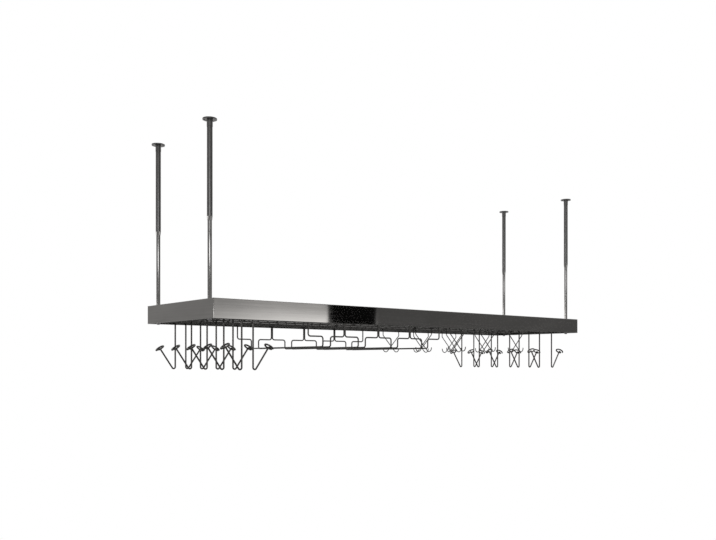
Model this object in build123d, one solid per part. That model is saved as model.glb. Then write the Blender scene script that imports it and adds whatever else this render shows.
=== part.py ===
"""A ceiling-hung rack: a shallow sheet tray on four telescoping posts, with wire hangers below it.

Frame: millimetres, +X along the tray, +Y from its front to its back, +Z up. The origin is on the
ceiling, at the middle of the four posts. Each piece is written to its own file in parts/.
"""

from build123d import *

import os
from math import atan, cos, pi, radians, sin, tan

# Tray: four strips of folded sheet, welded at the corners
tray_length = 1500
tray_depth = 377
tray_height = 50
sheet = 1.2
hem = 5
end_lip = 31
hang_height = 495

# Rails and rods inside the tray
rail_diameter = 5
rail_sides = 12
rail_height = 6.5
outer_rail_inset = 10.8
hook_rail_count = 5
anchor_rail_inset = 25.7
tie_bar_width = 5
tie_bar_height = 6
floor_rod_diameter = 4
floor_rod_pitch = 31.25

# Posts: a lower rod that slides in an upper tube
post_inset_x = 12.2
post_inset_y = 42.6
rod_diameter = 11
tube_diameter = 14
tube_bore = 12
tube_foot_height = 254
rod_overlap = 120
running_gap = 0.2
collar_length = 10
collar_tip_wall = 0.4
collar_sides = 24

# Ceiling flange: disc, neck and the spigot that the tube is pressed over
flange_diameter = 36
flange_thickness = 3
neck_diameter = 15
neck_length = 17
spigot_length = 12
seat_gap = 0.1
flange_hole_circle = 26
flange_hole_diameter = 4.5
flange_hole_count = 3

# Screws that hold the lower rods on the end lips
screw_diameter = 6
screw_grip = 16
screw_head_diameter = 10.5
screw_head_height = 3.3
screw_head_taper = 20
screw_hole_gap = 0.2
screw_tip_room = 2
screw_sides = 8

# All hangers: the room between a crook and its rail, and how finely wires and bends are faceted
crook_gap = 0.3
crook_tail = 1.5
wire_sides = 5
crook_steps = 1
tight_steps = 1
bend_steps = 2
curl_steps = 3

# Foot rails: bent wires that carry a round foot between two neighbouring legs
foot_wire = 4
foot_rail_count = 5
foot_rail_first = 285
foot_rail_pitch = 124
foot_arm_drop = 37
foot_leg_drop = 65
foot_leg_reach = 49
foot_bend = 7

# Ring hooks: a stem, a rising arm and a wire ring as its head
ring_wire = 4.5
ring_stem_drop = 125
ring_bend = 5
ring_arm_angle = 34.5
ring_head_drop = 67.5
ring_head_diameter = 27.5
ring_leg_bend = 3
ring_turn = 322
ring_chords = 7
left_outer_column = 81
left_inner_column = 114
right_inner_column = 219
right_outer_column = 150

# Anchor hooks: two wires that cross and end in upturned curls
anchor_wire = 3
anchor_span = 36
anchor_shoulder_drop = 13.5
anchor_cross_drop = 50
anchor_curl_reach = 38
anchor_curl_radius = 12
anchor_tip_rise = 2
anchor_shoulder_bend = 8
anchor_run_in = 108
anchor_run_out = 98
anchor_least_pitch = 120

# Tie bars: places beside the hangers that they must leave room for
first_tie_before_foot_rails = 85
third_tie_beyond_anchor = 15

tray_floor = -hang_height
rail_z = tray_floor + rail_height
wall_top = tray_floor + tray_height
tie_bar_z = rail_z + (rail_diameter + tie_bar_height) / 2
floor_rod_z = tie_bar_z + (tie_bar_height + floor_rod_diameter) / 2
lip_top = tray_floor + sheet
left_face = -tray_length / 2
right_face = tray_length / 2
front_face = -tray_depth / 2
back_face = tray_depth / 2
post_x = tray_length / 2 - post_inset_x
post_y = tray_depth / 2 - post_inset_y

tube_foot = tray_floor + tube_foot_height
tube_head = -flange_thickness - neck_length

hook_rails = [
    front_face + outer_rail_inset + k * (tray_depth - 2 * outer_rail_inset) / (hook_rail_count - 1)
    for k in range(hook_rail_count)
]
anchor_rails = {
    "front": front_face + anchor_rail_inset,
    "middle": 0,
    "back": back_face - anchor_rail_inset,
}
rails = hook_rails + [
    y for y in anchor_rails.values() if all(abs(y - other) > rail_diameter for other in hook_rails)
]
foot_rail_x = [left_face + foot_rail_first + k * foot_rail_pitch for k in range(foot_rail_count)]
# Each column of ring hooks: its X, the way its arms point, and how many hooks from the front
# have their stem in front of the rail rather than behind it
ring_columns = {
    "left_outer": (left_face + left_outer_column, -1, 4),
    "left_inner": (left_face + left_inner_column, 1, 1),
    "right_inner": (right_face - right_inner_column, -1, 2),
    "right_outer": (right_face - right_outer_column, 1, 1),
}
anchor_first = foot_rail_x[-1] + anchor_run_in
anchor_last = ring_columns["right_inner"][0] - anchor_run_out
anchor_gaps = max(1, int((anchor_last - anchor_first) // anchor_least_pitch))
anchor_x = [anchor_first + k * (anchor_last - anchor_first) / anchor_gaps for k in range(anchor_gaps + 1)]

os.makedirs("parts", exist_ok=True)


def write(name, *solids):
    """Write one node: a single solid, or a group of separate solids."""
    export_step(solids[0] if len(solids) == 1 else Compound(children=list(solids)), f"parts/{name}.step")


def solid(shape):
    """The one solid of a shape."""
    return shape.solids()[0]


def block(x0, x1, y0, y1, z0, z1):
    """A box between two corners."""
    return Pos((x0 + x1) / 2, (y0 + y1) / 2, (z0 + z1) / 2) * Box(x1 - x0, y1 - y0, z1 - z0)


def turned(*outline):
    """A turned piece: an outline of (radius, height) points, spun about Z."""
    return revolve(Plane.XZ * make_face(Polyline(*outline, close=True)), Axis.Z)


def rounded(before, corner, after, radius, steps):
    """The points that replace a corner: the corners of a polygon whose sides touch the bend's arc."""
    into = (corner - before).normalized()
    out = (after - corner).normalized()
    turn = radians(into.get_angle(out))
    inward = (out - into * into.dot(out)).normalized()
    centre = corner - into * (radius * tan(turn / 2)) + inward * radius
    reach = radius / cos(turn / steps / 2)
    angles = [turn * (k + 0.5) / steps for k in range(steps)]
    return [centre + (into * sin(a) - inward * cos(a)) * reach for a in angles]


def wire(diameter, corners):
    """A bent wire that starts upwards. Each corner is (point, bend radius, steps), and a radius of 0 is sharp."""
    points = [Vector(*corner[0]) for corner in corners]
    path = [points[0]]
    for k in range(1, len(points) - 1):
        radius, steps = corners[k][1:]
        path += rounded(*points[k - 1 : k + 2], radius, steps) if radius else [points[k]]
    path.append(points[-1])
    start = Plane(origin=path[0], x_dir=(1, 0, 0), z_dir=path[1] - path[0])
    section = start * RegularPolygon(diameter / 2, wire_sides)
    return solid(sweep(section, path=Polyline(*path), transition=Transition.RIGHT))


def crook(x, rail_y, side, diameter):
    """The corners of a crook over a rail, from its free tail to its stem, and the stem's Y."""
    radius = rail_diameter / 2 + crook_gap + diameter / 2
    stem_y, tail_y, top = rail_y + side * radius, rail_y - side * radius, rail_z + radius
    tail = ((x, tail_y, rail_z - crook_tail), 0, 0)
    over = [((x, y, top), radius, crook_steps) for y in (tail_y, stem_y)]
    return [tail, *over], stem_y


def strip(length, foot):
    """A folded strip along X, its outer face on the XZ plane: a wall, a top hem and a foot lip."""
    wall = block(0, length, 0, sheet, tray_floor, wall_top)
    top = block(0, length, 0, hem, wall_top - sheet, wall_top)
    return wall + top + block(0, length, 0, foot, tray_floor, lip_top) if foot else wall + top


def long_wall(facing):
    """The front (-1) or back (1) wall. Its hem stops at the end walls."""
    wall = Pos(left_face, 0, 0) * strip(tray_length, 0)
    for x in (left_face, right_face - sheet):
        wall -= block(x, x + sheet, sheet, hem, wall_top - sheet, wall_top)
    wall = Pos(0, front_face, 0) * wall
    return solid(wall if facing < 0 else wall.mirror(Plane.XZ))


def end_wall(facing):
    """The left (-1) or right (1) end, between the long walls, with its lip and post holes."""
    inner = tray_depth - 2 * sheet
    end = Pos(left_face, front_face + sheet, 0) * (Rot(0, 0, 90) * strip(inner, end_lip)).mirror(Plane.YZ)
    for y in (front_face + sheet, back_face - hem):
        end -= block(left_face + sheet, left_face + hem, y, y + hem - sheet, wall_top - sheet, wall_top)
    hole = Cylinder((screw_diameter + screw_hole_gap) / 2, 4 * sheet)
    for y in (-post_y, post_y):
        end -= Pos(-post_x, y, tray_floor) * hole
    return solid(end if facing < 0 else end.mirror(Plane.YZ))


def rail(y):
    """A round rail between the end walls."""
    length = tray_length - 2 * sheet
    section = Plane(origin=(-length / 2, y, rail_z), z_dir=(1, 0, 0)) * RegularPolygon(rail_diameter / 2, rail_sides)
    return solid(extrude(section, length))


def floor_rods():
    """The tray's floor: rods from wall to wall, at one pitch about the middle."""
    span = tray_depth - 2 * sheet
    free = tray_length / 2 - post_inset_x - (rod_diameter + floor_rod_diameter) / 2
    count = 2 * int(free // floor_rod_pitch) + 1
    rod = solid(extrude(Plane.XZ.offset(-span / 2) * RegularPolygon(floor_rod_diameter / 2, wire_sides), span))
    return [Pos((k - count // 2) * floor_rod_pitch, 0, floor_rod_z) * rod for k in range(count)]


def tie_bars():
    """Flat bars from wall to wall, on top of the rails and under the floor rods."""
    places = (
        foot_rail_x[0] - first_tie_before_foot_rails,
        (foot_rail_x[2] + foot_rail_x[3]) / 2,
        anchor_x[0] + anchor_span + third_tie_beyond_anchor,
        (ring_columns["right_inner"][0] + ring_columns["right_outer"][0]) / 2,
    )
    bar = Box(tie_bar_width, tray_depth - 2 * sheet, tie_bar_height)
    return [solid(Pos(x, 0, tie_bar_z) * bar) for x in places]


def lower_rod():
    """A post's lower rod at the origin: it stands on the lip and is drilled from below."""
    top = tube_foot + rod_overlap
    drilled = (screw_diameter + screw_hole_gap) / 2
    depth = lip_top + screw_grip + screw_tip_room
    radius = rod_diameter / 2
    return turned(
        (drilled, lip_top), (radius, lip_top), (radius, top),
        (0, top), (0, depth), (drilled, depth),
    )


def upper_tube():
    """A post's upper tube at the origin, from the locking collar to the flange's neck."""
    outer, bore = tube_diameter / 2, tube_bore / 2
    return turned((bore, tube_foot), (outer, tube_foot), (outer, tube_head), (bore, tube_head))


def lock_collar():
    """The tapered collar at the tube's foot that guides and grips the rod."""
    bore = rod_diameter / 2 + running_gap
    foot = Plane.XY.offset(tube_foot - collar_length)
    ends = [
        foot * RegularPolygon(bore + collar_tip_wall, collar_sides),
        Plane.XY.offset(tube_foot) * RegularPolygon(tube_diameter / 2, collar_sides),
    ]
    hole = extrude(foot * RegularPolygon(bore, collar_sides, major_radius=False), collar_length)
    return solid(loft(ends, ruled=True) - hole)


def ceiling_flange(facing):
    """A flange at the origin: disc, neck and spigot, one of its holes facing the tray's long side."""
    spigot_foot = tube_head - spigot_length
    neck, spigot = neck_diameter / 2, tube_bore / 2 - seat_gap
    flange = turned(
        (0, 0), (flange_diameter / 2, 0), (flange_diameter / 2, -flange_thickness),
        (neck, -flange_thickness), (neck, tube_head), (spigot, tube_head),
        (spigot, spigot_foot), (0, spigot_foot),
    )
    hole = Cylinder(flange_hole_diameter / 2, 4 * flange_thickness)
    for k in range(flange_hole_count):
        turn = Rot(0, 0, 90 * facing + 360 * k / flange_hole_count)
        flange -= turn * Pos(flange_hole_circle / 2, 0, 0) * hole
    return flange


def rod_screw():
    """A button-head screw at the origin, from under the lip up into the rod."""
    shank = extrude(RegularPolygon(screw_diameter / 2, screw_sides), sheet + screw_grip)
    head = extrude(
        RegularPolygon(screw_head_diameter / 2, screw_sides), screw_head_height, taper=screw_head_taper
    )
    return Pos(0, 0, tray_floor) * (shank + Rot(180, 0, 0) * head)


def foot_rail(x, arms):
    """A foot rail at x: one bent wire for each arm, hung on the first and the last rail."""
    wires = []
    for arm in arms:
        stem_x = x + arm * foot_wire / 2 if len(arms) > 1 else x
        leg_x = x + arm * foot_leg_reach
        front, front_y = crook(stem_x, hook_rails[0], -1, foot_wire)
        back, back_y = crook(stem_x, hook_rails[-1], 1, foot_wire)
        arm_z, foot_z = tray_floor - foot_arm_drop, tray_floor - foot_leg_drop
        loop = [
            (stem_x, front_y, arm_z), (leg_x, front_y, arm_z), (leg_x, front_y, foot_z),
            (leg_x, back_y, foot_z), (leg_x, back_y, arm_z), (stem_x, back_y, arm_z),
        ]
        bends = [(corner, foot_bend, bend_steps) for corner in loop]
        wires.append(wire(foot_wire, front + bends + back[::-1]))
    return wires


def ring_hook(x, rail_y, side, facing):
    """A ring hook at x on one rail. Its arm rises towards facing and ends in the ring's middle."""
    corners, stem_y = crook(x, rail_y, side, ring_wire)
    lean = radians(ring_arm_angle)
    rise = Vector(facing * sin(lean), 0, cos(lean))
    across = Vector(facing * cos(lean), 0, -sin(lean))
    low = tray_floor - ring_stem_drop
    # The lowest point of the bend is on its arc, so its corner lies further down
    corner_z = low + ring_bend - ring_bend / tan(lean / 2)
    corner = Vector(x, stem_y, corner_z)
    height = tray_floor - ring_head_drop - corner_z
    middle = corner + rise * (height / cos(lean))
    mean = (ring_head_diameter - ring_wire) / 2
    angles = [radians(ring_turn) * k / ring_chords for k in range(ring_chords + 1)]
    ring = [middle + across * (mean * cos(a)) + Vector(0, mean * sin(a), 0) for a in angles]
    corners += [(tuple(corner), ring_bend, bend_steps)]
    corners += [(tuple(point), ring_leg_bend, tight_steps) for point in (middle, ring[0])]
    corners += [(tuple(point), 0, 0) for point in ring[1:]]
    return wire(ring_wire, corners)


def anchor_hook(x, rail_y, side):
    """An anchor hook at x on one rail: two mirrored wires, joined where they cross."""
    wires = []
    for hand in (-1, 1):
        corners, stem_y = crook(x + hand * anchor_span, rail_y, side, anchor_wire)
        # One wire leans out past the other, so that they touch where they cross
        plane_y = stem_y + (side * anchor_wire if hand > 0 else 0)
        slope = (anchor_cross_drop - anchor_shoulder_drop) / anchor_span
        tip_x = x - hand * anchor_curl_reach
        corner_z = tray_floor - anchor_cross_drop - slope * anchor_curl_reach
        turn = pi / 2 + atan(slope)
        tip_z = corner_z + anchor_curl_radius * tan(turn / 2) + anchor_tip_rise
        shoulder = (x + hand * anchor_span, plane_y, tray_floor - anchor_shoulder_drop)
        corners += [
            (shoulder, anchor_shoulder_bend, bend_steps),
            ((tip_x, plane_y, corner_z), anchor_curl_radius, curl_steps),
            ((tip_x, plane_y, tip_z), 0, 0),
        ]
        wires.append(wire(anchor_wire, corners))
    return wires


write("front_wall", long_wall(-1))
write("back_wall", long_wall(1))
write("left_end", end_wall(-1))
write("right_end", end_wall(1))
write("hanging_rails", *[rail(y) for y in rails])
write("tie_bars", *tie_bars())
write("floor_rods", *floor_rods())

posts = {
    f"{front}_{left}": (x, y)
    for front, y in (("front", -post_y), ("back", post_y))
    for left, x in (("left", -post_x), ("right", post_x))
}
for post, (x, y) in posts.items():
    write(f"lower_rod_{post}", solid(Pos(x, y, 0) * lower_rod()))
    write(f"upper_tube_{post}", solid(Pos(x, y, 0) * upper_tube()))
write("lock_collars", *[solid(Pos(x, y, 0) * lock_collar()) for x, y in posts.values()])
write("ceiling_flanges", *[solid(Pos(x, y, 0) * ceiling_flange(y / abs(y))) for x, y in posts.values()])
write("rod_screws", *[solid(Pos(x, y, 0) * rod_screw()) for x, y in posts.values()])

for k, x in enumerate(foot_rail_x):
    # The first foot rail has only its right arm, and the last only its left
    arms = [arm for arm in (-1, 1) if 0 <= k + (arm - 1) / 2 < foot_rail_count - 1]
    write(f"foot_rail_{k + 1}", *foot_rail(x, arms))

for column, (x, facing, in_front) in ring_columns.items():
    for k, y in enumerate(hook_rails):
        write(f"ring_hook_{column}_{k + 1}", ring_hook(x, y, -1 if k < in_front else 1, facing))

for row, y in anchor_rails.items():
    for k, x in enumerate(anchor_x):
        write(f"anchor_hook_{row}_{k + 1}", *anchor_hook(x, y, 1 if row == "front" else -1))
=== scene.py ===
"""The looks of a ceiling-hung rack: a polished sheet tray, telescoping posts and bent-wire hangers.

Every piece is in metres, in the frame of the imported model: +X along the tray, +Y from its front to its
back and +Z up, with the ceiling at zero. The rack's lengths are written in millimetres times MM, and the
studio's in metres.
"""

from __future__ import annotations

import logging
import math
from dataclasses import dataclass, field
from enum import Enum
from typing import Any, Sequence

import bmesh
import bpy
import numpy as np
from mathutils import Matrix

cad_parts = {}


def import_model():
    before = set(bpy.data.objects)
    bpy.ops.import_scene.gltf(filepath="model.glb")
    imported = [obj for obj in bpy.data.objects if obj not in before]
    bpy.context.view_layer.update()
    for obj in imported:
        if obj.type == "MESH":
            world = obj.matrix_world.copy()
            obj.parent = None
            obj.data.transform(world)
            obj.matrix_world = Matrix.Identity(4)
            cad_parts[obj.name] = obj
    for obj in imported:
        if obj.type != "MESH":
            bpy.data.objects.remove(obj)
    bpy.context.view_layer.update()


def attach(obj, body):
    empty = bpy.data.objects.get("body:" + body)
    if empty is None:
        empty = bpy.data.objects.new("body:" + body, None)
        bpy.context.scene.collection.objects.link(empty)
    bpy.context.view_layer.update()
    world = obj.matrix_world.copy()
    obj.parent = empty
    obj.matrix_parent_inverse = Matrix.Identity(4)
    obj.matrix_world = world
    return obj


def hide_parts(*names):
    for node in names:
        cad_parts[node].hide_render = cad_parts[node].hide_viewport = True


MM = 0.001
# Points nearer than this are one point
SAME_PLACE = 0.01 * MM
# The angles in degrees past which an edge is shaded sharp, on most pieces and on turned ones
SHARP = 40.0
TURNED_SHARP = 30.0
# The rings that ease a wire's end: how deep each lies and how wide it is, as shares of the wire's radius
END_DEPTHS = (0.0, 0.12, 0.3)
END_WIDTHS = (0.68, 0.9, 1.0)
# The share by which a finish's tint is darker or lighter from place to place
TONE_SWING = 0.1
log = logging.getLogger("rack")


class Slot(Enum):
    """The material slots of the part."""

    SHEET = "polished_steel"
    TUBE = "tube_steel"
    ROD = "rod_steel"
    WIRE = "wire_steel"
    SCREW = "screw_steel"


class Body(Enum):
    """The two bodies that aren't a hanger's own."""

    CEILING = "ceiling_side"
    TRAY = "tray"


# Shapes on grids


@dataclass(frozen=True)
class Corner:
    """A point where a wire's centreline turns, and the radius of the bend there."""

    place: tuple[float, float, float]
    radius: float = 0.0


@dataclass(frozen=True)
class Curl:
    """A round stretch that a wire's end goes on with: a turn in radians about an axis."""

    radius: float
    turn: float
    axis: tuple[float, float, float]


def turned_about(vector: np.ndarray, axis: np.ndarray, angles: np.ndarray) -> np.ndarray:
    """Turn one vector about an axis by many angles at once.

    The part along the axis stays and the rest turns, so the result is
    v cos a + (axis x v) sin a + axis (axis . v)(1 - cos a).

    Args:
        vector: The vector.
        axis: The unit axis.
        angles: The angles in radians.

    Returns:
        One turned vector for each angle.
    """
    cos, sin = np.cos(angles)[:, None], np.sin(angles)[:, None]
    return vector * cos + np.cross(axis, vector) * sin + axis * (axis @ vector) * (1 - cos)


@dataclass(frozen=True)
class Bend:
    """A round stretch of a centreline: its start, its heading there, its radius, its turn and its axis."""

    start: np.ndarray
    heading: np.ndarray
    radius: float
    turn: float
    axis: np.ndarray

    def arc(self, angles: np.ndarray) -> np.ndarray:
        """The points at angles from its start: its centre less radius times its turned inward direction."""
        inward = np.cross(self.axis, self.heading)
        return self.start + (inward - turned_about(inward, self.axis, angles)) * self.radius


@dataclass
class WireRoute:
    """A wire's centreline: straight runs between corners, each corner bent to its radius, then any curls."""

    corners: list[Corner]
    curls: list[Curl] = field(default_factory=list)
    degrees_a_step: float = 11.0

    def bends(self) -> list[Bend]:
        """Find the round stretches: a corner's starts before it by the radius times tan(turn / 2).

        Returns:
            The stretches in order. A wire without curls ends in one without a turn.
        """
        places = np.array([corner.place for corner in self.corners], float)
        headings = np.diff(places, axis=0)
        headings /= np.linalg.norm(headings, axis=1)[:, None]
        found = []
        for k, corner in enumerate(self.corners[1:-1]):
            axis = np.cross(headings[k], headings[k + 1])
            turn = math.atan2(np.linalg.norm(axis), headings[k] @ headings[k + 1])
            start = places[k + 1] - headings[k] * corner.radius * math.tan(turn / 2)
            found.append(Bend(start, headings[k], corner.radius, turn, axis / np.linalg.norm(axis)))
        end, heading = places[-1], headings[-1]
        if not self.curls:
            found.append(Bend(end, heading, 0.0, 0.0, heading))
        for curl in self.curls:
            bend = Bend(end, heading, curl.radius, curl.turn, np.array(curl.axis))
            found.append(bend)
            last = np.array([curl.turn])
            end, heading = bend.arc(last)[0], turned_about(heading, bend.axis, last)[0]
        return found

    def stations(self) -> tuple[np.ndarray, np.ndarray, np.ndarray]:
        """Follow the centreline. The cross-section turns with it in each bend.

        Returns:
            The stations' points, and the two directions that span each cross-section.
        """
        bends = self.bends()
        heading = bends[0].heading
        # The cross-section's first direction is the axis most nearly square to the first run
        across = np.eye(3)[np.abs(heading).argmin()]
        across -= heading * (across @ heading)
        across /= np.linalg.norm(across)
        points = [np.array([self.corners[0].place], float)]
        acrosses, alongs = [across[None]], [heading[None]]
        for bend in bends:
            steps = math.ceil(math.degrees(bend.turn) / self.degrees_a_step)
            angles = np.linspace(0, bend.turn, steps + 1)
            arc = bend.arc(angles)
            joined = np.linalg.norm(arc[0] - points[-1][-1]) < SAME_PLACE
            points.append(arc[joined:])
            acrosses.append(turned_about(acrosses[-1][-1], bend.axis, angles)[joined:])
            alongs.append(turned_about(bend.heading, bend.axis, angles)[joined:])
        across = np.concatenate(acrosses)
        return np.concatenate(points), across, np.cross(np.concatenate(alongs), across)


def rounded_outline(corners: Sequence[tuple[float, float, float]], steps: int = 4) -> np.ndarray:
    """Round the corners of a closed outline.

    Each corner is cut by the arc that touches both of its sides: its centre lies on the corner's
    bisector, and its points are the centre plus the radius at even angles between the two sides' normals.

    Args:
        corners: (x, y, radius) of each corner, anticlockwise.
        steps: The steps in each rounded corner.

    Returns:
        The outline's points, two numbers each.
    """
    ring = np.array(corners, float)
    places, radii = ring[:, :2], ring[:, 2]
    into = places - np.roll(places, 1, axis=0)
    into /= np.linalg.norm(into, axis=1)[:, None]
    out = np.roll(into, -1, axis=0)
    turns = np.arctan2(into[:, 0] * out[:, 1] - into[:, 1] * out[:, 0], (into * out).sum(1))
    reach = radii * np.tan(np.abs(turns) / 2)
    sign = np.sign(turns)[:, None]
    inward = np.stack([-into[:, 1], into[:, 0]], 1) * sign
    centres = places - into * reach[:, None] + inward * radii[:, None]
    angles = np.linspace(0, 1, steps + 1)[None] * np.abs(turns)[:, None]
    arcs = (
        centres[:, None]
        + into[:, None] * (radii[:, None] * np.sin(angles))[..., None]
        - inward[:, None] * (radii[:, None] * np.cos(angles))[..., None]
    )
    return arcs.reshape(-1, 2)


def grid_quads(rows: int, columns: int, wrap_rows: bool = False) -> np.ndarray:
    """The quads of a grid whose columns close on themselves.

    Args:
        rows: The number of rings along the shape.
        columns: The points in each ring.
        wrap_rows: Whether the last ring joins the first.

    Returns:
        Four point numbers for each quad.
    """
    numbers = np.arange(rows * columns).reshape(rows, columns)
    here = numbers if wrap_rows else numbers[:-1]
    beyond = np.roll(numbers, -1, axis=0) if wrap_rows else numbers[1:]
    quads = [here, np.roll(here, -1, axis=1), np.roll(beyond, -1, axis=1), beyond]
    return np.stack(quads, -1).reshape(-1, 4)


@dataclass
class Patch:
    """Points and faces that make up part of a piece, with a flat map of the surface in metres."""

    points: np.ndarray
    faces: list[np.ndarray]
    chart: np.ndarray

    @staticmethod
    def ringed(grid: np.ndarray, chart: np.ndarray, closed: bool = False) -> Patch:
        """Close a grid of rings into a solid skin.

        Args:
            grid: Points as (rings, points in a ring, 3).
            chart: The surface map as (rings, points in a ring, 2).
            closed: Whether the last ring joins the first, as on a hoop. Otherwise flat caps close it.

        Returns:
            The closed patch.
        """
        rows, columns = grid.shape[:2]
        faces = [grid_quads(rows, columns, closed)]
        if not closed:
            faces.append(np.arange(columns)[::-1][None])
            faces.append((rows - 1) * columns + np.arange(columns)[None])
        return Patch(grid.reshape(-1, 3), faces, chart.reshape(-1, 2))


def make_piece(name: str, patches: Sequence[Patch], sharp: float = SHARP) -> bpy.types.Object:
    """Put patches into one mesh and link its object to the scene.

    Args:
        name: The piece's name.
        patches: The patches, each closed by itself.
        sharp: The angle in degrees past which an edge is shaded sharp.

    Returns:
        The object, at the origin.
    """
    starts = np.cumsum([0] + [len(patch.points) for patch in patches])
    points = np.concatenate([patch.points for patch in patches])
    chart = np.concatenate([patch.chart for patch in patches])
    faces = [face + first for patch, first in zip(patches, starts) for face in patch.faces]
    loops = np.concatenate([face.ravel() for face in faces])
    totals = np.concatenate([np.full(len(face), face.shape[1]) for face in faces])
    mesh = bpy.data.meshes.new(name)
    mesh.vertices.add(len(points))
    mesh.vertices.foreach_set("co", points.ravel())
    mesh.loops.add(len(loops))
    mesh.loops.foreach_set("vertex_index", loops)
    mesh.polygons.add(len(totals))
    mesh.polygons.foreach_set("loop_start", np.concatenate([[0], np.cumsum(totals)[:-1]]))
    mesh.polygons.foreach_set("loop_total", totals)
    mesh.polygons.foreach_set("use_smooth", np.ones(len(totals), bool))
    layer = mesh.uv_layers.new(name="surface")
    layer.data.foreach_set("uv", chart[loops].ravel())
    mesh.update(calc_edges=True)
    mesh.set_sharp_from_angle(angle=math.radians(sharp))
    piece = bpy.data.objects.new(name, mesh)
    bpy.context.scene.collection.objects.link(piece)
    keep_flats(piece)
    return piece


def keep_flats(piece: bpy.types.Object) -> None:
    """Weight the normals by area, so that flats look flat and only folds and eased edges turn the light.

    Args:
        piece: The object, with its sharp edges marked.
    """
    weigh = piece.modifiers.new("flats", "WEIGHTED_NORMAL")
    weigh.mode = "FACE_AREA"
    weigh.keep_sharp = True


def wire_patch(route: WireRoute, diameter: float, sides: int = 18) -> Patch:
    """A round wire along a route, its two ends eased.

    A ring's point at angle a is its station plus the radius times (across cos a + beside sin a). The
    rings of END_DEPTHS and END_WIDTHS take each end station's place, inside the wire's length.

    Args:
        route: The wire's route.
        diameter: The wire's diameter.
        sides: The points in each ring.

    Returns:
        The wire's closed patch.
    """
    points, across, beside = route.stations()
    radius, rings = diameter / 2, len(END_DEPTHS)
    depths = np.array(END_DEPTHS) * radius
    first, last = np.cross(across[0], beside[0]), np.cross(across[-1], beside[-1])
    points = np.concatenate([
        points[0] + first * depths[:, None], points[1:-1], points[-1] - last * depths[::-1, None],
    ])
    widths = np.concatenate([END_WIDTHS, np.ones(len(points) - 2 * rings), END_WIDTHS[::-1]]) * radius
    across = np.concatenate([across[:1].repeat(rings, 0), across[1:-1], across[-1:].repeat(rings, 0)])
    beside = np.concatenate([beside[:1].repeat(rings, 0), beside[1:-1], beside[-1:].repeat(rings, 0)])
    angles = np.linspace(0, 2 * math.pi, sides, endpoint=False)
    spokes = across[:, None] * np.cos(angles)[:, None] + beside[:, None] * np.sin(angles)[:, None]
    grid = points[:, None] + spokes * widths[:, None, None]
    along = np.concatenate([[0], np.cumsum(np.linalg.norm(np.diff(points, axis=0), axis=1))])
    chart = np.stack(np.broadcast_arrays(along[:, None], (angles * radius)[None]), -1)
    return Patch.ringed(grid, chart)


def straight_wire(start: Sequence[float], end: Sequence[float], diameter: float) -> Patch:
    """A straight round wire from one point to another."""
    return wire_patch(WireRoute([Corner(tuple(start)), Corner(tuple(end))]), diameter)


def turned_patch(outline: np.ndarray, x: float, y: float, closed: bool, sides: int = 40) -> Patch:
    """A turned piece on a vertical axis.

    A point at angle a is (x + r cos a, y + r sin a, z) for each (r, z) of the outline, which runs upwards
    on the outside.

    Args:
        outline: (radius, height) points.
        x: The axis's X.
        y: The axis's Y.
        closed: Whether the outline is a closed loop, as on a tube.
        sides: The points in each ring.

    Returns:
        The closed patch.
    """
    angles = np.linspace(0, 2 * math.pi, sides, endpoint=False)
    radii, heights = outline[:, 0], outline[:, 1]
    grid = np.stack(np.broadcast_arrays(
        x + radii[:, None] * np.cos(angles), y + radii[:, None] * np.sin(angles), heights[:, None],
    ), -1)
    steps = np.linalg.norm(np.diff(outline, axis=0), axis=1)
    along = np.concatenate([[0], np.cumsum(steps)])
    chart = np.stack(np.broadcast_arrays(along[:, None], (angles * radii.max())[None]), -1)
    return Patch.ringed(grid, chart, closed)


# Finishes


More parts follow.
